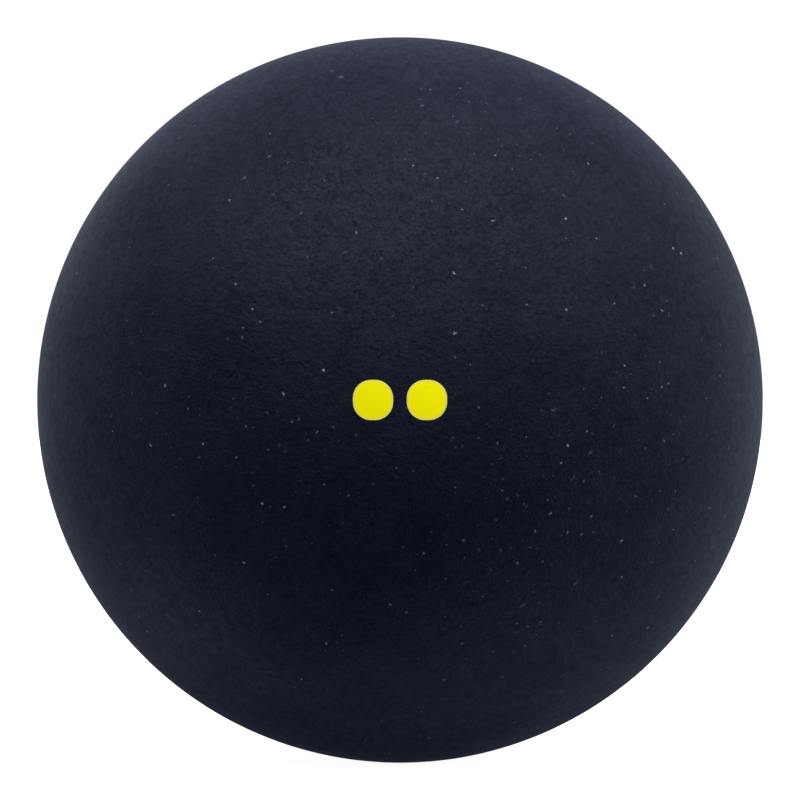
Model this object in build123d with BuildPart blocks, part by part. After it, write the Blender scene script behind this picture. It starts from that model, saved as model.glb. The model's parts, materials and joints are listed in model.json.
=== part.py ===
from build123d import *

import os
from math import asin, degrees, sqrt

# A squash ball: two rubber half shells from one mould, bonded rim to rim with rubber cement,
# and a pair of dots printed on the front. There is only air inside.
# The origin is the centre of the ball and +Z is up. The print faces -Y, and the seam lies in the XZ plane.

# Driving dimensions, in millimetres
BALL_DIAMETER = 40.0  # over the buffed skin
WALL = 4.8  # rubber between the skin and the air inside
CEMENT_FILM = 0.2  # cured cement between the two flat rims
RIM_BEVEL = 0.6  # bevel on the inner edge of each rim, which the cement fills
BEAD_HEIGHT = 0.25  # how far the squeezed-out cement stands into the ball from the bevels
DOT_SIZE = 2.08  # across the straight sides of a printed dot
DOT_FLAT = 0.19  # straight stretch in the middle of each of those sides
DOT_GAP = 0.7  # bare rubber between the two dots
INK_FILM = 0.05  # thickness of the printed ink

# A half shell turns through this many degrees from its pole to the seam plane
QUARTER_TURN = 90

# Sizes that follow from the driving dimensions
outer_radius = BALL_DIAMETER / 2
inner_radius = outer_radius - WALL
rim_setback = CEMENT_FILM / 2
bevel_setback = rim_setback + RIM_BEVEL
rim_angle = degrees(asin(rim_setback / outer_radius))
bevel_angle = degrees(asin(bevel_setback / inner_radius))
bevel_start = sqrt(inner_radius**2 - rim_setback**2) + RIM_BEVEL
bead_root = sqrt(inner_radius**2 - bevel_setback**2)
dot_corner = (DOT_SIZE - DOT_FLAT) / 2
dot_centre = (DOT_GAP + DOT_SIZE) / 2

# Front half shell: skin, flat rim, bevel and inner wall, turned about the Y axis
with BuildPart() as front_half_shell:
    with BuildSketch(Plane.XY):
        with BuildLine():
            skin = CenterArc((0, 0), outer_radius, -QUARTER_TURN, QUARTER_TURN - rim_angle)
            wall = CenterArc((0, 0), inner_radius, -QUARTER_TURN, QUARTER_TURN - bevel_angle)
            Polyline(skin @ 1, (bevel_start, -rim_setback), wall @ 1)
            Line(wall @ 0, skin @ 0)
        make_face()
    revolve(axis=Axis.Y)

# Rear half shell: the same moulding, set rim to rim with the front one
with BuildPart() as rear_half_shell:
    mirror(front_half_shell.part, about=Plane.XZ)

# Cement ring: flush with the skin, wedged between the bevels, with a round bead inside
with BuildPart() as seam_cement_ring:
    with BuildSketch(Plane.XY):
        with BuildLine():
            flush = CenterArc((0, 0), outer_radius, -rim_angle, 2 * rim_angle)
            bead = ThreePointArc(
                (bead_root, -bevel_setback),
                (bead_root - BEAD_HEIGHT, 0),
                (bead_root, bevel_setback),
            )
            Polyline(flush @ 0, (bevel_start, -rim_setback), bead @ 0)
            Polyline(flush @ 1, (bevel_start, rim_setback), bead @ 1)
        make_face()
    revolve(axis=Axis.Y)


def printed_dot(centre_x):
    """A softly squared dot of ink that follows the round of the skin."""
    with BuildPart() as dot:
        with BuildSketch(Plane.XZ):
            with Locations((centre_x, 0)):
                RectangleRounded(DOT_SIZE, DOT_SIZE, dot_corner)
        extrude(amount=BALL_DIAMETER)
        Sphere(outer_radius + INK_FILM, mode=Mode.INTERSECT)
        Sphere(outer_radius, mode=Mode.SUBTRACT)
    return dot


left_dot = printed_dot(-dot_centre)
right_dot = printed_dot(dot_centre)

# One file for each piece
pieces = {
    "front_half_shell": front_half_shell,
    "rear_half_shell": rear_half_shell,
    "seam_cement_ring": seam_cement_ring,
    "left_dot": left_dot,
    "right_dot": right_dot,
}
os.makedirs("parts", exist_ok=True)
for name, piece in pieces.items():
    piece.part.label = name
    export_step(piece.part, f"parts/{name}.step")
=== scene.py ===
"""A squash ball, dressed: buffed rubber half shells, the cement line between them and two printed dots.

Lengths are in metres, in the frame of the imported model: the ball's centre is the origin, +Z is up and the
print faces -Y.
"""

import json
import logging
import math
from collections.abc import Callable
from dataclasses import dataclass
from enum import Enum
from typing import Any

import bmesh
import bpy
import numpy as np
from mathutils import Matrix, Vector


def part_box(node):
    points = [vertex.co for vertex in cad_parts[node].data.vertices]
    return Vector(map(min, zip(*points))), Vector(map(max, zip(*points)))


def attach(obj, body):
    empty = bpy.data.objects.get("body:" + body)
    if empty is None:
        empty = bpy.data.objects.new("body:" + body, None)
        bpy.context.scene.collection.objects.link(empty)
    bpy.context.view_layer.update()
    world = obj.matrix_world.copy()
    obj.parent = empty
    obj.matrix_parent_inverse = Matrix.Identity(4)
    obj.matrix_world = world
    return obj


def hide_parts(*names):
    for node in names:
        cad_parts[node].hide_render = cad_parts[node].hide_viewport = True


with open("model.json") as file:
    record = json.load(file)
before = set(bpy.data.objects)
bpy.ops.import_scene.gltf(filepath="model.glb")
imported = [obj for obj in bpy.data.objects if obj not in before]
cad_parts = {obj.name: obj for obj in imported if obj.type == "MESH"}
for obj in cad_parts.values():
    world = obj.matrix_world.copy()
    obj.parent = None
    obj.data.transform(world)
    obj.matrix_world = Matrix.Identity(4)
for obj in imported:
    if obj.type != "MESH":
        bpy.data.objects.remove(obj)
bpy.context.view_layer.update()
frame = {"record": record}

log = logging.getLogger("squash_ball")

MM = 0.001
SNAP = 0.0005 * MM  # points nearer together than this are taken as one
DOT_FLAT = 0.19 * MM  # straight stretch in the middle of each side of a printed dot
BAKE_MAP = "OFBake"  # the map that the finish is baked to

Colour = tuple[float, float, float, float]
Point = tuple[float, float, float]


class Half(Enum):
    """The side of the seam plane that a half shell lies on."""

    FRONT = -1
    REAR = 1


class Side(Enum):
    """The side of the print's middle that a dot lies on."""

    LEFT = "left"
    RIGHT = "right"


class Wire:
    """An output socket. Python's arithmetic on it adds Math nodes to its sheet."""

    def __init__(self, sheet: "NodeSheet", socket: bpy.types.NodeSocket) -> None:
        """Keep the socket, and the sheet that new nodes go on."""
        self.sheet = sheet
        self.socket = socket

    def twin(self, output: str) -> "Wire":
        """Another output of the same node."""
        return Wire(self.sheet, self.socket.node.outputs[output])

    def _math(self, operation: str, first: "Wire | float", second: "Wire | float") -> "Wire":
        """Put a Math node on the sheet.

        Args:
            operation: The Math node's operation.
            first: The value or wire of its first socket.
            second: The value or wire of its second socket.

        Returns:
            The node's result.
        """
        return self.sheet.node("ShaderNodeMath", {"operation": operation}, {0: first, 1: second})

    def __add__(self, other: "Wire | float") -> "Wire":
        """This value plus another."""
        return self._math("ADD", self, other)

    def __radd__(self, other: float) -> "Wire":
        """A number plus this value."""
        return self._math("ADD", other, self)

    def __sub__(self, other: "Wire | float") -> "Wire":
        """This value less another."""
        return self._math("SUBTRACT", self, other)

    def __rsub__(self, other: float) -> "Wire":
        """A number less this value."""
        return self._math("SUBTRACT", other, self)

    def __mul__(self, other: "Wire | float") -> "Wire":
        """This value times another."""
        return self._math("MULTIPLY", self, other)

    def __rmul__(self, other: float) -> "Wire":
        """A number times this value."""
        return self._math("MULTIPLY", other, self)


class NodeSheet:
    """The node tree of a material or a world, with one way to add a node."""

    def __init__(self, owner: bpy.types.Material | bpy.types.World) -> None:
        """Turn on the owner's nodes and keep its tree."""
        owner.use_nodes = True
        self.tree = owner.node_tree

    def node(
        self,
        kind: str,
        settings: dict[str, Any] | None = None,
        sockets: dict[str | int, Any] | None = None,
        output: str | int = 0,
    ) -> Wire:
        """Add a node.

        Args:
            kind: Blender's name for the node's type.
            settings: The node's own settings, which are set first.
            sockets: The value or the wire of each input, by name or number.
            output: The output that is wanted, by name or number.

        Returns:
            The wanted output.
        """
        made = self.tree.nodes.new(kind)
        for name, value in (settings or {}).items():
            setattr(made, name, value)
        self.feed(made, sockets or {})
        return Wire(self, made.outputs[output])

    def feed(self, node: bpy.types.Node, sockets: dict[str | int, Any]) -> None:
        """Set or link a node's inputs.

        Args:
            node: The node to feed.
            sockets: The value or the wire of each input, by name or number.
        """
        for key, value in sockets.items():
            if isinstance(value, Wire):
                self.tree.links.new(value.socket, node.inputs[key])
            else:
                node.inputs[key].default_value = value

    def surface(self, sockets: dict[str | int, Any]) -> None:
        """Feed the material's Principled shader."""
        self.feed(self.tree.nodes["Principled BSDF"], sockets)

    def place(self) -> Wire:
        """The place on the piece, in millimetres."""
        metres = self.node("ShaderNodeTexCoord", output="Object")
        return self.node("ShaderNodeVectorMath", {"operation": "SCALE"}, {0: metres, "Scale": 1 / MM})

    def turned(self, place: Wire, angles: Point, stretch: Point = (1, 1, 1)) -> Wire:
        """Turn a pattern's coordinates, then stretch them.

        Args:
            place: The coordinates to turn.
            angles: The turn about each axis, in degrees.
            stretch: The factor along each axis after the turn.

        Returns:
            The new coordinates.
        """
        radians = tuple(math.radians(a) for a in angles)
        turned = self.node("ShaderNodeMapping", {}, {"Vector": place, "Rotation": radians})
        return self.node("ShaderNodeVectorMath", {"operation": "MULTIPLY"}, {0: turned, 1: stretch})

    def noise(self, place: Wire, size: float, detail: float = 2.0, gain: float = 0.5) -> Wire:
        """A cloudy pattern from 0 to 1.

        Args:
            place: The coordinates, in millimetres.
            size: The width of one cloud, in millimetres.
            detail: How many finer layers it has.
            gain: The strength of each finer layer.

        Returns:
            The pattern's value.
        """
        sockets = {"Vector": place, "Scale": 1 / size, "Detail": detail, "Roughness": gain}
        return self.node("ShaderNodeTexNoise", {}, sockets)

    def patchy(self, place: Wire, size: float, detail: float, spread: float = 0.2) -> Wire:
        """A cloudy pattern with its middle tones stretched.

        Args:
            place: The coordinates, in millimetres.
            size: The width of one cloud, in millimetres.
            detail: How many finer layers it has.
            spread: How far to each side of the middle the pattern still changes.

        Returns:
            The pattern's value, from 0 to 1.
        """
        return self.ease(self.noise(place, size, detail), 0.5 - spread, 0.5 + spread)

    def apart(self, place: Wire, point: Point) -> Wire:
        """The distance from a fixed point."""
        return self.node("ShaderNodeVectorMath", {"operation": "DISTANCE"}, {0: place, 1: point}, "Value")

    def ease(self, value: Wire, low: float, high: float) -> Wire:
        """A smooth step.

        Args:
            value: What steps.
            low: Where the step gives 0.
            high: Where the step gives 1, which may be below low.

        Returns:
            The step, from 0 to 1.
        """
        flip = low > high
        ends = {"From Min": min(low, high), "From Max": max(low, high)}
        ends |= {"To Min": float(flip), "To Max": float(not flip)}
        settings = {"interpolation_type": "SMOOTHSTEP"}
        return self.node("ShaderNodeMapRange", settings, {"Value": value} | ends)

    def blend(self, share: Wire | float, first: Wire | Colour, second: Wire | Colour) -> Wire:
        """Mix two colours.

        Args:
            share: The second colour's share, from 0 to 1.
            first: The colour at 0.
            second: The colour at 1.

        Returns:
            The mixed colour.
        """
        return self.node("ShaderNodeMix", {"data_type": "RGBA"}, {0: share, 6: first, 7: second}, 2)

    def bump(self, height: Wire, depth: float) -> Wire:
        """A surface normal that follows a relief.

        Args:
            height: The relief, from 0 to 1.
            depth: The relief's full height, in metres.

        Returns:
            The normal.
        """
        return self.node("ShaderNodeBump", {}, {"Height": height, "Distance": depth, "Strength": 1.0})


class Pattern(Enum):
    """The turn of each pattern in the rubber, in degrees, so that no two of them line up."""

    CLOUDS = (63.0, 17.0, 41.0)
    PATCHES = (5.0, 71.0, 33.0)
    GRAIN = (37.0, 21.0, 53.0)
    WRINKLES = (25.0, 0.0, 0.0)
    CREASES = (48.0, 66.0, 9.0)
    PEBBLES = (11.0, 43.0, 29.0)
    MOTTLE = (29.0, 58.0, 77.0)


@dataclass(frozen=True)
class DustGrains:
    """One kind of pale dust in the skin: specks, flecks, smudges or hairs. Lengths are in millimetres."""

    spacing: float
    radius: float
    show: float
    share: float
    turn: Point = (0.0, 0.0, 0.0)
    stretch: Point = (1.0, 1.0, 1.0)
    at_seam: bool = False
    least_size: float = 0.35
    least_show: float = 0.2
    soft_edge: float = 0.7
    sharpness: float = 0.01

    def scatter(self, sheet: NodeSheet, place: Wire, plenty: Wire) -> Wire:
        """Scatter the grains.

        Args:
            sheet: The sheet to draw on.
            place: The place on the skin, in millimetres.
            plenty: How thick the dust lies, from 0 to 1.

        Returns:
            How much dust shows, from 0 to 1.
        """
        where = sheet.turned(place, self.turn, self.stretch)
        sockets = {"Vector": where, "Scale": 1 / self.spacing}
        cells = sheet.node("ShaderNodeTexVoronoi", {}, sockets, "Distance")
        draw = sheet.node("ShaderNodeSeparateColor", {}, {"Color": cells.twin("Color")}, "Red")
        size = draw.twin("Green")
        reach = self.radius * (self.least_size + (1 - self.least_size) * size)
        grain = sheet.ease(cells * self.spacing - reach, 0.0, -self.soft_edge * self.radius)
        kept = sheet.ease(draw - plenty * self.share, self.sharpness, -self.sharpness)
        return grain * kept * (self.show * (self.least_show + (1 - self.least_show) * size * size))


@dataclass(frozen=True)
class Dusting:
    """Pale dust on the skin, thicker in drifts, in patches and lower down. Lengths are in millimetres."""

    colour: Colour = (0.26, 0.27, 0.30, 1.0)
    thinnest: float = 0.10
    drift_share: float = 0.35
    drift_size: float = 2.5
    drift_detail: float = 2.0
    drift_start: float = 0.42
    drift_full: float = 0.72
    patch_share: float = 0.45
    patch_reach: float = 7.0
    patch_core: float = 2.0
    patches: tuple[Point, ...] = (
        (5.8, -17.2, -8.4),
        (6.8, -18.5, -2.8),
        (-9.5, -17.0, -3.5),
        (13.0, -15.0, 1.5),
        (5.0, -14.0, 13.4),
    )
    top_share: float = 0.33
    thin_from: float = 19.0
    thick_to: float = -15.0
    ragged_size: float = 0.16
    raggedness: float = 0.35
    kinds: tuple[DustGrains, ...] = (
        DustGrains(spacing=0.42, radius=0.10, show=0.9, share=0.68),
        DustGrains(spacing=0.28, radius=0.09, show=0.2, share=0.45, turn=(70, 15, 40)),
        DustGrains(spacing=0.75, radius=0.10, show=0.22, share=0.9, turn=(20, 35, 10), stretch=(0.4, 1, 1)),
        DustGrains(spacing=0.75, radius=0.10, show=0.25, share=0.9, turn=(65, 20, 80), stretch=(1, 1, 0.5)),
        DustGrains(spacing=0.95, radius=0.3, show=0.03, share=1.0, turn=(50, 10, 70)),
        DustGrains(spacing=1.3, radius=0.04, show=0.4, share=0.3, turn=(0, 60, 25), stretch=(0.06, 1, 1)),
        DustGrains(
            spacing=1.2,
            radius=0.2,
            show=0.22,
            share=0.8,
            turn=(15, 80, 30),
            stretch=(0.6, 1, 1),
            at_seam=True,
        ),
    )

    def lay(self, sheet: NodeSheet, place: Wire, moulded: Wire) -> Wire:
        """Lay every kind of dust, with ragged grains.

        Args:
            sheet: The sheet to draw on.
            place: The place on the skin, in millimetres.
            moulded: How much of the moulded grain is left there, which is least at the seam.

        Returns:
            How much dust shows, from 0 to 1.
        """
        plenty = self.plenty(sheet, place)
        smooth = 1 - moulded
        sockets = {"Vector": place, "Scale": 1 / self.ragged_size}
        shake = sheet.node("ShaderNodeTexNoise", {}, sockets, "Color")
        reach = (self.raggedness, self.raggedness, self.raggedness)
        settings = {"operation": "MULTIPLY_ADD"}
        ragged = sheet.node("ShaderNodeVectorMath", settings, {0: shake, 1: reach, 2: place})
        total: Wire | float = 0.0
        for kind in self.kinds:
            total = total + kind.scatter(sheet, ragged, smooth if kind.at_seam else plenty)
        return total

    def plenty(self, sheet: NodeSheet, place: Wire) -> Wire:
        """How thick the dust lies.

        Args:
            sheet: The sheet to draw on.
            place: The place on the skin, in millimetres.

        Returns:
            The share of the possible grains that are there.
        """
        noise = sheet.noise(place, self.drift_size, self.drift_detail)
        total = self.thinnest + self.drift_share * sheet.ease(noise, self.drift_start, self.drift_full)
        height = sheet.node("ShaderNodeSeparateXYZ", {}, {0: place}, "Z")
        total = total * (self.top_share + sheet.ease(height, self.thin_from, self.thick_to))
        for middle in self.patches:
            near = sheet.ease(sheet.apart(place, middle), self.patch_reach, self.patch_core)
            total = total + self.patch_share * near
        return total


@dataclass(frozen=True)
class BuffedRubber:
    """Matte blue-black rubber with a moulded grain, pits, cloudy bloom and pale dust.

    The skin is buffed smoother towards the seam than it is round the poles. A size is the width of one
    mark, a share is its part in the relief or in the gloss, and a glint is its part in the grain's sparkle.
    Lengths are in millimetres.
    """

    body: Colour = (0.0022, 0.0038, 0.0085, 1.0)
    bloom: Colour = (0.0042, 0.0066, 0.0130, 1.0)
    sheen: Colour = (0.95, 0.99, 1.0, 1.0)
    gloss: float = 0.05
    roughness: float = 0.55
    roughness_change: float = 0.06
    softness: float = 0.3
    coat_index: float = 1.2
    haze: float = 0.025
    haze_roughness: float = 0.25
    cloud_size: float = 2.6
    cloud_detail: float = 3.0
    cloud_share: float = 0.15
    cloud_tone: float = 0.6
    patch_size: float = 7.0
    patch_spread: float = 0.15
    patch_share: float = 0.15
    mottle_size: float = 0.38
    mottle_detail: float = 2.0
    mottle_share: float = 0.16
    buff_share: float = 0.13
    grain_drawn: float = 0.25
    mottle_drawn: float = 0.55
    grain_size: float = 0.16
    grain_detail: float = 2.0
    grain_gain: float = 0.6
    grain_share: float = 0.35
    wrinkle_size: float = 0.24
    wrinkle_stretch: float = 0.8
    wrinkle_share: float = 0.65
    crease_size: float = 0.26
    crease_width: float = 0.07
    crease_cover: float = 0.3
    crease_share: float = 0.2
    pebble_size: float = 0.6
    pebble_share: float = 0.8
    pit_spacing: float = 0.6
    pit_radius: float = 0.10
    pit_floor: float = 0.03
    pit_share: float = 0.4
    # painted shade in the pits: how much darker their colour is drawn
    pit_shade: float = 0.3
    relief_depth: float = 0.09
    grain_glint: float = 0.75
    crease_glint: float = 0.05
    pebble_glint: float = 0.2
    glint_spread: float = 0.14
    glint_tone: float = 0.5
    uneven: float = 0.5
    seam_share: float = 0.2
    smooth_to: float = 5.5
    full_from: float = 18.2
    coarse_patch: Point = (-1.0, -15.5, 12.0)
    coarse_reach: float = 13.0
    coarse_core: float = 4.33
    coarse_gain: float = 0.45
    dusting: Dusting = Dusting()

    def material(self) -> bpy.types.Material:
        """Lay out the finish.

        Returns:
            The material for both half shells.
        """
        made = bpy.data.materials.new("buffed_rubber")
        sheet = NodeSheet(made)
        place = sheet.place()
        settings = {"operation": "MULTIPLY"}
        drawn = sheet.node("ShaderNodeVectorMath", settings, {0: place, 1: (1, self.grain_drawn, 1)})
        spread = sheet.node("ShaderNodeVectorMath", settings, {0: place, 1: (1, self.mottle_drawn, 1)})
        turned = sheet.turned(place, Pattern.CLOUDS.value)
        clouds = sheet.patchy(turned, self.cloud_size, self.cloud_detail)
        turned = sheet.turned(place, Pattern.PATCHES.value)
        patches = sheet.patchy(turned, self.patch_size, 1.0, self.patch_spread)
        turned = sheet.turned(spread, Pattern.MOTTLE.value)
        mottle = sheet.patchy(turned, self.mottle_size, self.mottle_detail)
        moulded = self.moulded(sheet, place)
        pits = self.pits(sheet, place)
        relief, glints = self.grained(sheet, drawn, moulded, clouds, pits)

        # painted shade: the base colour is darkened inside the pits, and the coat is thinned there too
        painted_pit_shade = 1 - pits * self.pit_shade
        buffed = sheet.ease(moulded, 1.0, self.seam_share)
        blotches = (mottle - 0.5) * (buffed * self.buff_share)
        tone = (clouds * self.cloud_tone + patches * (1 - self.cloud_tone)) * (1 - self.glint_tone)
        tone = tone + glints * self.glint_tone + (mottle - 0.5) * (2 * self.mottle_share) + blotches * 2
        colour = sheet.blend(tone * painted_pit_shade, self.body, self.bloom)
        coat = clouds * self.cloud_share + patches * self.patch_share + mottle * self.mottle_share
        coat = coat + glints * (1 - self.cloud_share - self.patch_share - self.mottle_share) + blotches
        dust = self.dusting.lay(sheet, place, moulded)
        sheet.surface(
            {
                "Base Color": sheet.blend(dust, colour, self.dusting.colour),
                "Roughness": self.roughness + (clouds - 0.5) * self.roughness_change,
                "Specular IOR Level": self.gloss,
                "Specular Tint": self.sheen,
                "Diffuse Roughness": self.softness,
                "Coat Weight": coat * painted_pit_shade,
                "Coat Roughness": self.roughness,
                "Coat IOR": self.coat_index,
                "Sheen Weight": self.haze,
                "Sheen Roughness": self.haze_roughness,
                "Normal": sheet.bump(relief, self.relief_depth * MM),
            }
        )
        return made

    def moulded(self, sheet: NodeSheet, place: Wire) -> Wire:
        """How much of the moulded grain is left: least at the seam and most in a patch above the print.

        Args:
            sheet: The sheet to draw on.
            place: The place on the skin, in millimetres.

        Returns:
            The grain's strength, about 1 at the poles.
        """
        from_seam = sheet.node("ShaderNodeSeparateXYZ", {}, {0: place}, "Y")
        left = sheet.ease(from_seam * from_seam, self.smooth_to**2, self.full_from**2)
        coarse = sheet.ease(sheet.apart(place, self.coarse_patch), self.coarse_reach, self.coarse_core)
        return (self.seam_share + (1 - self.seam_share) * left) * (1 + self.coarse_gain * coarse)

    def grained(
        self, sheet: NodeSheet, place: Wire, moulded: Wire, clouds: Wire, pits: Wire
    ) -> tuple[Wire, Wire]:
        """Draw the moulded grain: fine grain, wrinkles, creases and pebbles.

        Args:
            sheet: The sheet to draw on.
            place: The grain's own coordinates, in millimetres.
            moulded: How much of the grain is left.
            clouds: Where buffing left more of it, from 0 to 1.
            pits: How deep the pits are, from 0 to 1.

        Returns:
            The relief, and how much each place glints, from 0 to 1.
        """
        turned = sheet.turned(place, Pattern.GRAIN.value)
        grain = sheet.noise(turned, self.grain_size, self.grain_detail, self.grain_gain)
        turned = sheet.turned(place, Pattern.WRINKLES.value, (self.wrinkle_stretch, 1, 1))
        wrinkles = sheet.noise(turned, self.wrinkle_size, 1.0)
        pebbles = sheet.noise(sheet.turned(place, Pattern.PEBBLES.value), self.pebble_size, 1.0)
        creases = self.creases(sheet, place)
        strength = moulded * (1 - self.uneven / 2 + self.uneven * clouds)

        relief = grain * self.grain_share + wrinkles * self.wrinkle_share + creases * self.crease_share
        relief = relief * strength + (pebbles * self.pebble_share - pits * self.pit_share) * moulded
        skin = grain * self.grain_glint + wrinkles * (1 - self.grain_glint) - 0.5
        skin = skin + (creases - self.crease_cover) * self.crease_glint
        glints = skin * strength * (1 - self.pebble_glint) + (pebbles - 0.5) * moulded * self.pebble_glint
        return relief, sheet.ease(glints, -self.glint_spread, self.glint_spread)

    def creases(self, sheet: NodeSheet, place: Wire) -> Wire:
        """Fine raised creases, as on leather.

        Args:
            sheet: The sheet to draw on.
            place: The grain's own coordinates, in millimetres.

        Returns:
            How high the creases stand, from 0 to 1.
        """
        slope = sheet.noise(sheet.turned(place, Pattern.CREASES.value), self.crease_size, 1.0) - 0.5
        return sheet.ease(slope * slope, self.crease_width * self.crease_width, 0.0)

    def pits(self, sheet: NodeSheet, place: Wire) -> Wire:
        """Tiny pits that the mould leaves.

        Args:
            sheet: The sheet to draw on.
            place: The place on the skin, in millimetres.

        Returns:
            How deep the pits are, from 0 to 1.
        """
        sockets = {"Vector": place, "Scale": 1 / self.pit_spacing}
        near = sheet.node("ShaderNodeTexVoronoi", {}, sockets, "Distance") * self.pit_spacing
        return sheet.ease(near, self.pit_radius, self.pit_floor)


@dataclass(frozen=True)
class CuredCement:
    """Rubber cement, cured and buffed nearly flush: a little smoother than the rubber, in uneven streaks.

    Lengths are in millimetres.
    """

    body: Colour = (0.0030, 0.0046, 0.0090, 1.0)
    streak: Colour = (0.0095, 0.0115, 0.0165, 1.0)
    streak_size: float = 1.6
    streak_detail: float = 3.0
    gloss: float = 0.10
    roughness: float = 0.5
    roughness_change: float = 0.2
    grain_size: float = 0.2
    grain_depth: float = 0.006

    def material(self) -> bpy.types.Material:
        """Lay out the finish.

        Returns:
            The material for the seam.
        """
        made = bpy.data.materials.new("cured_cement")
        sheet = NodeSheet(made)
        place = sheet.place()
        streaks = sheet.patchy(place, self.streak_size, self.streak_detail)
        sheet.surface(
            {
                "Base Color": sheet.blend(streaks, self.body, self.streak),
                "Roughness": self.roughness + (streaks - 0.5) * self.roughness_change,
                "Specular IOR Level": self.gloss,
                "Normal": sheet.bump(sheet.noise(place, self.grain_size), self.grain_depth * MM),
            }
        )
        return made


@dataclass(frozen=True)
class PrintedInk:
    """Flat yellow ink with a paler edge, where the ink lies thinner and a highlight on its rounded rim is
    painted in, and with the rubber's grain just showing through.

    Lengths are in millimetres.
    """

    dot_middle: float
    dot_size: float
    dot_flat: float
    body: Colour = (0.96, 0.82, 0.0008, 1.0)
    thin: Colour = (0.92, 0.85, 0.0008, 1.0)
    thin_size: float = 0.45
    thin_detail: float = 3.0
    # paler colour along each dot's outline: partly thinner ink, partly a painted highlight on the ink's
    # rounded rim
    edge: Colour = (0.82, 0.72, 0.070, 1.0)
    highlight_edge_reach: float = 0.20
    highlight_edge_line: float = 0.02
    gloss: float = 0.03
    roughness: float = 0.7
    roughness_change: float = 0.1
    grain_size: float = 0.16
    grain_depth: float = 0.004

    def material(self) -> bpy.types.Material:
        """Lay out the finish.

        Returns:
            The material for both dots.
        """
        made = bpy.data.materials.new("yellow_ink")
        sheet = NodeSheet(made)
        place = sheet.place()
        thinness = sheet.patchy(place, self.thin_size, self.thin_detail)
        inks = sheet.blend(thinness, self.body, self.thin)
        # painted highlight on the ink's rounded rim, with thinner ink there: a paler ring along each dot's
        # outline
        pale = sheet.ease(self.from_edge(sheet, place), self.highlight_edge_reach, self.highlight_edge_line)
        sheet.surface(
            {
                "Base Color": sheet.blend(pale, inks, self.edge),
                "Roughness": self.roughness + (thinness - 0.5) * self.roughness_change,
                "Specular IOR Level": self.gloss,
                "Normal": sheet.bump(sheet.noise(place, self.grain_size), self.grain_depth * MM),
            }
        )
        return made

    def from_edge(self, sheet: NodeSheet, place: Wire) -> Wire:
        """How far a place on either dot lies from the dot's outline.

        Args:
            sheet: The sheet to draw on.
            place: The place on the dot, in millimetres.

        Returns:
            The distance, in millimetres.
        """
        steps: tuple[tuple[str, Point], ...] = (
            ("ABSOLUTE", (0, 0, 0)),
            ("SUBTRACT", (self.dot_middle, 0, 0)),
            ("ABSOLUTE", (0, 0, 0)),
            ("SUBTRACT", (self.dot_flat / 2, 0, self.dot_flat / 2)),
            ("MAXIMUM", (0, 0, 0)),
            ("MULTIPLY", (1, 0, 1)),
        )
        for operation, value in steps:
            place = sheet.node("ShaderNodeVectorMath", {"operation": operation}, {0: place, 1: value})
        corner = (self.dot_size - self.dot_flat) / 2
        return corner - sheet.apart(place, (0, 0, 0))


def alone() -> None:
    """Deselect everything, so that the next operator meets only what it makes."""
    bpy.ops.object.select_all(action="DESELECT")


def edit(piece: bpy.types.Object) -> None:
    """Open one piece in edit mode with all of it selected.

    Args:
        piece: The piece to open.
    """
    alone()
    piece.select_set(True)
    bpy.context.view_layer.objects.active = piece
    bpy.ops.object.mode_set(mode="EDIT")
    bpy.ops.mesh.select_all(action="SELECT")


def close() -> None:
    """Leave edit mode."""
    bpy.ops.object.mode_set(mode="OBJECT")


def pick(piece: bpy.types.Object, wanted: Callable[[Vector], bool]) -> None:
    """Select what lies wholly in a region, in edit mode.

    Args:
        piece: The piece that is open.
        wanted: Says whether a vertex lies in the region.
    """
    bpy.ops.mesh.select_mode(type="VERT")
    bpy.ops.mesh.select_all(action="DESELECT")
    mesh = bmesh.from_edit_mesh(piece.data)
    for vertex in mesh.verts:
        vertex.select = wanted(vertex.co)
    mesh.select_flush(True)
    bmesh.update_edit_mesh(piece.data)


def pick_open_edge() -> None:
    """Select the open edge of the piece in edit mode."""
    bpy.ops.mesh.select_mode(type="EDGE")
    bpy.ops.mesh.select_all(action="DESELECT")
    bpy.ops.mesh.select_non_manifold(
        extend=False,
        use_wire=False,
        use_boundary=True,
        use_multi_face=False,
        use_non_contiguous=False,
        use_verts=False,
    )


def apply(piece: bpy.types.Object, kind: str, **settings: Any) -> None:
    """Add a modifier and apply it.

    Args:
        piece: The piece to modify.
        kind: The modifier's type.
        settings: The modifier's settings.
    """
    alone()
    piece.select_set(True)
    bpy.context.view_layer.objects.active = piece
    modifier = piece.modifiers.new(kind.lower(), kind)
    for name, value in settings.items():
        setattr(modifier, name, value)
    bpy.ops.object.modifier_apply(modifier=modifier.name)


def hand_over(piece: bpy.types.Object, name: str, node: str) -> None:
    """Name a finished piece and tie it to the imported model.

    Args:
        piece: The finished piece.
        name: Its name.
        node: The node that it stands for.
    """
    piece.name = name
    piece.data.name = name
    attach(piece, "root")
    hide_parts(node)
    log.info("%s: %d faces", name, len(piece.data.polygons))


@dataclass(frozen=True)
class BallSizes:
    """The sizes that the pieces share. Setbacks are measured from the seam plane."""

    outer_radius: float
    rim_setback: float
    bevel_setback: float
    wall: float = 4.8 * MM

    @classmethod
    def from_frame(cls) -> "BallSizes":
        """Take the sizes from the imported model.

        Returns:
            The sizes.
        """
        seats = {mount["name"]: mount for mount in frame["record"]["mounts"]}
        return cls(
            outer_radius=seats["round_seat"]["dims"]["r_mm"] * MM,
            rim_setback=-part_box("front_half_shell")[1].y,
            bevel_setback=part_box("seam_cement_ring")[1].y,
        )

    @property
    def inner_radius(self) -> float:
        """The radius of the inner wall."""
        return self.outer_radius - self.wall

    @property
    def bevel_root(self) -> float:
        """The distance from the ball's axis at which the bevel leaves the inner wall."""
        return math.sqrt(self.inner_radius**2 - self.bevel_setback**2)

    @property
    def bevel_end(self) -> float:
        """The distance from the ball's axis at which the bevel meets the flat rim."""
        width = self.bevel_setback - self.rim_setback
        return math.sqrt(self.inner_radius**2 - self.rim_setback**2) + width


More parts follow.
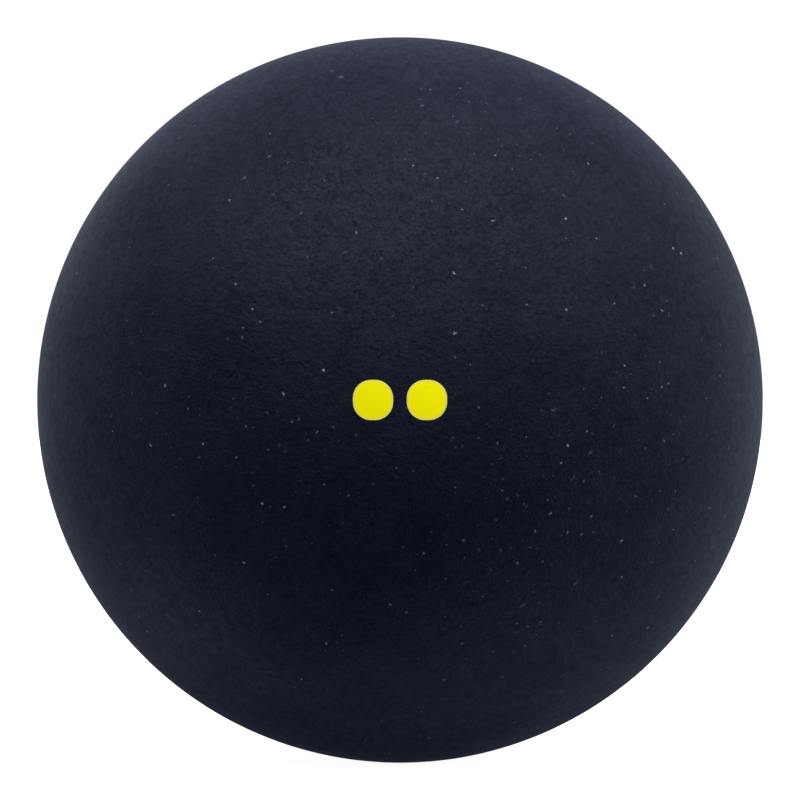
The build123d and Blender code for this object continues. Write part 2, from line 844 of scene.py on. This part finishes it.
@dataclass
class HalfShell:
    """One moulded half of the ball: buffed skin, flat rim, bevelled inner edge and inner wall."""

    half: Half
    sizes: BallSizes
    edge_round: float = 0.02 * MM
    edge_steps: int = 6
    first_cuts: int = 4
    skin_halvings: int = 5
    wall_halvings: int = 3
    wave_size: float = 5.0 * MM
    wave_height: float = 0.02 * MM
    pebble_size: float = 1.1 * MM
    pebble_height: float = 0.006 * MM
    smooth_angle: float = math.radians(25.0)
    skin_depth: float = 0.6 * MM
    skin_share: float = 0.49
    lining_share: float = 0.066
    lining_corner: float = 0.07

    def build(self) -> bpy.types.Object:
        """Model the shell as one closed mesh.

        Returns:
            The shell.
        """
        sizes = self.sizes
        skin = self._ball(sizes.outer_radius, self.skin_halvings)
        self._weather(skin)
        self._cut(skin, sizes.rim_setback + self.edge_round)
        self._round_edge(skin)
        lining = self._ball(sizes.inner_radius, self.wall_halvings)
        self._cut(lining, sizes.bevel_setback)
        self._flare(lining)
        alone()
        lining.select_set(True)
        skin.select_set(True)
        bpy.context.view_layer.objects.active = skin
        bpy.ops.object.join()
        edit(skin)
        pick_open_edge()
        bpy.ops.mesh.bridge_edge_loops()
        bpy.ops.mesh.select_all(action="SELECT")
        bpy.ops.mesh.normals_make_consistent(inside=False)
        close()
        bpy.ops.object.shade_smooth_by_angle(angle=self.smooth_angle)
        self._unwrap(skin)
        return skin

    def dress(self, shell: bpy.types.Object, rubber: bpy.types.Material) -> None:
        """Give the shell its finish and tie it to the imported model.

        Args:
            shell: The finished mesh.
            rubber: The finish of both shells.
        """
        shell.data.materials.append(rubber)
        half = self.half.name.lower()
        hand_over(shell, f"{half}_shell", f"{half}_half_shell")

    def _ball(self, radius: float, halvings: int) -> bpy.types.Object:
        """Divide a cube again and again, and round it each time.

        Args:
            radius: The ball's radius.
            halvings: How often its faces are halved.

        Returns:
            A ball of even quads.
        """
        alone()
        bpy.ops.mesh.primitive_cube_add(size=2 * radius)
        ball = bpy.context.object
        for cuts in (self.first_cuts, *[1] * halvings):
            edit(ball)
            bpy.ops.mesh.subdivide(number_cuts=cuts)
            close()
            apply(ball, "CAST", factor=1.0, size=radius, use_radius_as_size=False)
        return ball

    def _weather(self, skin: bpy.types.Object) -> None:
        """Give the skin the faint unevenness that buffing leaves.

        Args:
            skin: The whole round skin.
        """
        for name, size, height in (
            ("buffing_waves", self.wave_size, self.wave_height),
            ("buffing_pebbles", self.pebble_size, self.pebble_height),
        ):
            clouds = bpy.data.textures.get(name) or bpy.data.textures.new(name, "CLOUDS")
            clouds.noise_scale = size
            apply(skin, "DISPLACE", texture=clouds, texture_coords="LOCAL", strength=height, mid_level=0.5)

    def _cut(self, ball: bpy.types.Object, setback: float) -> None:
        """Cut a ball parallel to the seam plane and keep this half's part.

        Args:
            ball: The ball to cut.
            setback: The cut's distance from the seam plane.
        """
        side = self.half.value
        edit(ball)
        bpy.ops.mesh.bisect(
            plane_co=(0, side * setback, 0),
            plane_no=(0, -side, 0),
            clear_outer=True,
            threshold=SNAP,
        )
        close()

    def _lead(self, radius_from: float, radius_to: float, step: float) -> None:
        """Extrude the open edge to a new radius and along the ball's axis.

        Args:
            radius_from: The edge's radius about the axis.
            radius_to: Its new radius.
            step: How far it moves towards the seam plane.
        """
        share = radius_to / radius_from
        bpy.ops.mesh.extrude_region()
        bpy.ops.transform.resize(value=(share, 1, share), center_override=(0, 0, 0))
        bpy.ops.transform.translate(value=(0, -self.half.value * step, 0))

    def _round_edge(self, skin: bpy.types.Object) -> None:
        """Roll the skin's open edge over into the rim.

        Args:
            skin: This half of the skin.
        """
        edit(skin)
        pick_open_edge()
        radius = math.sqrt(self.sizes.outer_radius**2 - (self.sizes.rim_setback + self.edge_round) ** 2)
        inner = radius - self.edge_round
        turns = [math.pi / 2 * k / self.edge_steps for k in range(self.edge_steps + 1)]
        for before, after in zip(turns, turns[1:]):
            self._lead(
                inner + self.edge_round * math.cos(before),
                inner + self.edge_round * math.cos(after),
                self.edge_round * (math.sin(after) - math.sin(before)),
            )
        close()

    def _flare(self, lining: bpy.types.Object) -> None:
        """Lead the inner wall's open edge out along the bevel to the rim plane, and face the wall inwards.

        Args:
            lining: This half of the inner wall.
        """
        sizes = self.sizes
        edit(lining)
        pick_open_edge()
        self._lead(sizes.bevel_root, sizes.bevel_end, sizes.bevel_setback - sizes.rim_setback)
        bpy.ops.mesh.select_all(action="SELECT")
        bpy.ops.mesh.flip_normals()
        close()

    def _unwrap(self, shell: bpy.types.Object) -> None:
        """Lay the skin flat on the bake map as a large disc, and the lining and rim as a small one.

        Args:
            shell: The closed shell.
        """
        mesh = shell.data
        places = np.empty(3 * len(mesh.vertices))
        mesh.vertices.foreach_get("co", places)
        places = places.reshape(-1, 3)
        centres = np.empty(3 * len(mesh.polygons))
        mesh.polygons.foreach_get("center", centres)
        corners = np.empty(len(mesh.polygons), dtype=int)
        mesh.polygons.foreach_get("loop_total", corners)
        vertices = np.empty(len(mesh.loops), dtype=int)
        mesh.loops.foreach_get("vertex_index", vertices)

        depth = self.sizes.outer_radius - np.linalg.norm(centres.reshape(-1, 3), axis=1)
        on_skin = np.repeat(depth < self.skin_depth, corners)[:, np.newaxis]
        to_pole = self.half.value * places[:, 1] / np.linalg.norm(places, axis=1)
        flat = places[:, [0, 2]] / self.sizes.outer_radius / np.sqrt(1 + to_pole)[:, np.newaxis]
        flat = flat[vertices]
        skin_disc = 0.5 + self.skin_share * flat
        lining_disc = self.lining_corner + self.lining_share * flat
        layer = mesh.uv_layers.new(name=BAKE_MAP)
        layer.data.foreach_set("uv", np.where(on_skin, skin_disc, lining_disc).ravel())


@dataclass
class CementSeam:
    """The ring of cured cement between the rims, with its bead inside the ball."""

    sizes: BallSizes
    bead_height: float = 0.25 * MM
    bead_share: float = 0.6
    bead_steps: int = 4
    recess: float = 0.02 * MM
    steps: int = 480
    smooth_angle: float = math.radians(25.0)

    def build(self) -> bpy.types.Object:
        """Model the ring's section, then spin it round the ball's axis.

        Returns:
            The ring.
        """
        sizes = self.sizes
        outer = sizes.outer_radius - self.recess
        wedge = sizes.bevel_end
        root = sizes.bevel_root
        alone()
        bpy.ops.mesh.primitive_plane_add(size=1)
        ring = bpy.context.object
        edit(ring)
        bpy.ops.transform.resize(value=(outer - wedge, 2 * sizes.rim_setback, 1), center_override=(0, 0, 0))
        bpy.ops.transform.translate(value=((outer + wedge) / 2, 0, 0))
        self._lead(ring, wedge, root, sizes.bevel_setback / sizes.rim_setback)
        self._lead(ring, root, root - self.bead_height, self.bead_share)
        bpy.ops.mesh.select_all(action="SELECT")
        bpy.ops.mesh.dissolve_faces()
        bpy.ops.mesh.delete(type="ONLY_FACE")
        pick(ring, lambda place: place.x < root - self.bead_height / 2)
        bpy.ops.mesh.bevel(offset=self.bead_height / 2, segments=self.bead_steps, affect="VERTICES")
        bpy.ops.mesh.select_all(action="SELECT")
        bpy.ops.mesh.spin(steps=self.steps, angle=math.tau, center=(0, 0, 0), axis=(0, 1, 0))
        bpy.ops.mesh.select_all(action="SELECT")
        bpy.ops.mesh.remove_doubles(threshold=SNAP)
        bpy.ops.mesh.normals_make_consistent(inside=False)
        close()
        bpy.ops.object.shade_smooth_by_angle(angle=self.smooth_angle)
        return ring

    def dress(self, ring: bpy.types.Object, cement: bpy.types.Material) -> None:
        """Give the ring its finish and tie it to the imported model."""
        ring.data.materials.append(cement)
        hand_over(ring, "cement_line", "seam_cement_ring")

    def _lead(self, ring: bpy.types.Object, start: float, end: float, flare: float) -> None:
        """Extrude the section's inner edge further in.

        Args:
            ring: The section in edit mode.
            start: The edge's radius.
            end: The new edge's radius.
            flare: The new edge's width, as a share of the old one's.
        """
        pick(ring, lambda place: place.x < start + SNAP)
        bpy.ops.mesh.extrude_region()
        bpy.ops.transform.translate(value=(end - start, 0, 0))
        bpy.ops.transform.resize(value=(1, flare, 1), center_override=(0, 0, 0))


@dataclass
class PrintedDot:
    """A softly squared dot of ink on the front of the ball."""

    side: Side
    low: Vector
    high: Vector
    flat: float = DOT_FLAT
    film: float = 0.022 * MM
    sunk: float = 0.01 * MM
    corner_steps: int = 24
    rings: int = 9
    lift: float = 1.0 * MM
    smooth_angle: float = math.radians(40.0)

    def build(self, skin: bpy.types.Object) -> bpy.types.Object:
        """Model the dot's outline and lay it on the skin.

        Args:
            skin: The shell that carries the print.

        Returns:
            The dot.
        """
        size = self.high.x - self.low.x
        middle = (self.low + self.high) / 2
        corner = (size - self.flat) / 2
        alone()
        before_skin = (middle.x, self.low.y - self.lift, middle.z)
        bpy.ops.mesh.primitive_plane_add(size=size, location=before_skin, rotation=(math.pi / 2, 0, 0))
        dot = bpy.context.object
        bpy.ops.object.transform_apply(location=True, rotation=True, scale=True)
        edit(dot)
        bpy.ops.mesh.bevel(offset=corner, segments=self.corner_steps, affect="VERTICES")
        bpy.ops.mesh.select_all(action="SELECT")
        bpy.ops.mesh.select_mode(type="FACE")
        for _ in range(self.rings):
            bpy.ops.mesh.inset(thickness=size / 2 / (self.rings + 1))
        close()
        apply(
            dot,
            "SHRINKWRAP",
            target=skin,
            wrap_method="PROJECT",
            use_project_y=True,
            use_positive_direction=True,
            use_negative_direction=False,
        )
        thickness = self.film + self.sunk
        apply(dot, "SOLIDIFY", thickness=thickness, offset=self.film / thickness * 2 - 1)
        edit(dot)
        bpy.ops.mesh.normals_make_consistent(inside=False)
        close()
        bpy.ops.object.shade_smooth_by_angle(angle=self.smooth_angle)
        return dot

    def dress(self, dot: bpy.types.Object, ink: bpy.types.Material) -> None:
        """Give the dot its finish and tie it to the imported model."""
        dot.data.materials.append(ink)
        hand_over(dot, f"{self.side.value}_ink_dot", f"{self.side.value}_dot")


@dataclass(frozen=True)
class Softbox:
    """A wide soft patch of light on the studio's dome, which fades out towards its edge.

    The azimuth is measured from the camera's side, positive to its right, in degrees.
    """

    azimuth: float
    elevation: float
    spread: float
    brightness: float
    tint: Point = (1.0, 1.04, 1.28)

    def glow(self, sheet: NodeSheet, sight: Wire) -> Wire:
        """Draw the patch.

        Args:
            sheet: The world's sheet.
            sight: The direction that is looked in.

        Returns:
            The patch's colour in that direction.
        """
        level = math.cos(math.radians(self.elevation))
        turn = math.radians(self.azimuth)
        axis = (level * math.sin(turn), -level * math.cos(turn), math.sin(math.radians(self.elevation)))
        near = sheet.node("ShaderNodeVectorMath", {"operation": "DOT_PRODUCT"}, {0: sight, 1: axis}, "Value")
        strength = sheet.ease(near, math.cos(math.radians(self.spread)), 1.0) * self.brightness
        return sheet.node("ShaderNodeVectorMath", {"operation": "SCALE"}, {0: self.tint, "Scale": strength})


@dataclass
class Studio:
    """A pale floor, a dome of soft light and the camera that took the photograph."""

    ball_radius: float
    floor_radius: float = 2.5
    floor_sides: int = 96
    floor_roughness: float = 0.9
    floor_colour: Colour = (0.45, 0.44, 0.35, 1.0)
    floor_glow: float = 0.955
    backdrop: float = 1.05
    fill: Point = (0.02, 0.02, 0.025)
    dusk: Point = (1.0, 1.08, 1.40)
    shade: Point = (1.0, 1.16, 1.9)
    camera_distance: float = 0.30
    outline_share: float = 0.907

    def softboxes(self) -> tuple[Softbox, ...]:
        """Set up the dome's lights.

        Returns:
            Two above the front, one on each side and two faint ones from below.
        """
        return (
            Softbox(azimuth=27.0, elevation=56.0, spread=63.0, brightness=2.37),
            Softbox(azimuth=-41.0, elevation=50.0, spread=25.0, brightness=3.8),
            Softbox(azimuth=109.0, elevation=5.0, spread=70.0, brightness=0.75, tint=self.dusk),
            Softbox(azimuth=-121.0, elevation=43.0, spread=85.0, brightness=0.65, tint=self.dusk),
            Softbox(azimuth=-111.0, elevation=-46.0, spread=33.0, brightness=0.95, tint=self.shade),
            Softbox(azimuth=98.0, elevation=-69.0, spread=38.0, brightness=0.90, tint=self.shade),
        )

    def build(self) -> None:
        """Set the floor, the light and the camera."""
        self._floor()
        self._dome()
        self._camera()
        bpy.context.scene.view_settings.view_transform = "Standard"

    def _floor(self) -> None:
        """Lay a pale matte floor under the ball, which takes its shadow but throws no light up at it."""
        alone()
        bpy.ops.mesh.primitive_circle_add(
            vertices=self.floor_sides,
            radius=self.floor_radius,
            fill_type="NGON",
            location=(0, 0, -self.ball_radius),
        )
        floor = bpy.context.object
        floor.name = "floor"
        floor.visible_diffuse = False
        floor.visible_glossy = False
        floor.visible_shadow = False
        material = bpy.data.materials.new("pale_floor")
        NodeSheet(material).surface(
            {
                "Base Color": self.floor_colour,
                "Roughness": self.floor_roughness,
                "Specular IOR Level": 0.0,
                "Emission Color": (1, 1, 1, 1),
                "Emission Strength": self.floor_glow,
            }
        )
        floor.data.materials.append(material)

    def _dome(self) -> None:
        """Light the ball from the softboxes, and show the camera a white backdrop."""
        world = bpy.data.worlds.new("studio")
        bpy.context.scene.world = world
        sheet = NodeSheet(world)
        sight = sheet.node("ShaderNodeTexCoord", output="Generated")
        seen = sheet.node("ShaderNodeLightPath", output="Is Camera Ray")
        light = self.fill
        for softbox in self.softboxes():
            glow = softbox.glow(sheet, sight)
            light = sheet.node("ShaderNodeVectorMath", {"operation": "ADD"}, {0: light, 1: glow})
        white = (self.backdrop, self.backdrop, self.backdrop, 1.0)
        sheet.feed(sheet.tree.nodes["Background"], {"Color": sheet.blend(seen, light, white)})

    def _camera(self) -> None:
        """Place the camera level with the ball, facing the print."""
        sight = math.asin(self.ball_radius / self.camera_distance)
        lens = bpy.data.cameras.new("camera")
        lens.lens = lens.sensor_width / 2 * self.outline_share / math.tan(sight)
        lens.clip_start = self.ball_radius / 10
        camera = bpy.data.objects.new("camera", lens)
        camera.location = (0, -self.camera_distance, 0)
        camera.rotation_euler = (math.pi / 2, 0, 0)
        bpy.context.scene.collection.objects.link(camera)
        bpy.context.scene.camera = camera


def main() -> None:
    """Build the ball, then the studio round it."""
    logging.basicConfig(level=logging.INFO, format="%(message)s")
    sizes = BallSizes.from_frame()

    rubber = BuffedRubber().material()
    shells = {}
    for half in Half:
        shell = HalfShell(half, sizes)
        shells[half] = shell.build()
        shell.dress(shells[half], rubber)

    seam = CementSeam(sizes)
    seam.dress(seam.build(), CuredCement().material())

    low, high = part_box("right_dot")
    ink = PrintedInk(
        dot_middle=(low.x + high.x) / 2 / MM,
        dot_size=(high.x - low.x) / MM,
        dot_flat=DOT_FLAT / MM,
    ).material()
    for side in Side:
        low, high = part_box(f"{side.value}_dot")
        dot = PrintedDot(side, low, high)
        dot.dress(dot.build(shells[Half.FRONT]), ink)

    Studio(sizes.outer_radius).build()


if __name__ == "__main__":
    main()
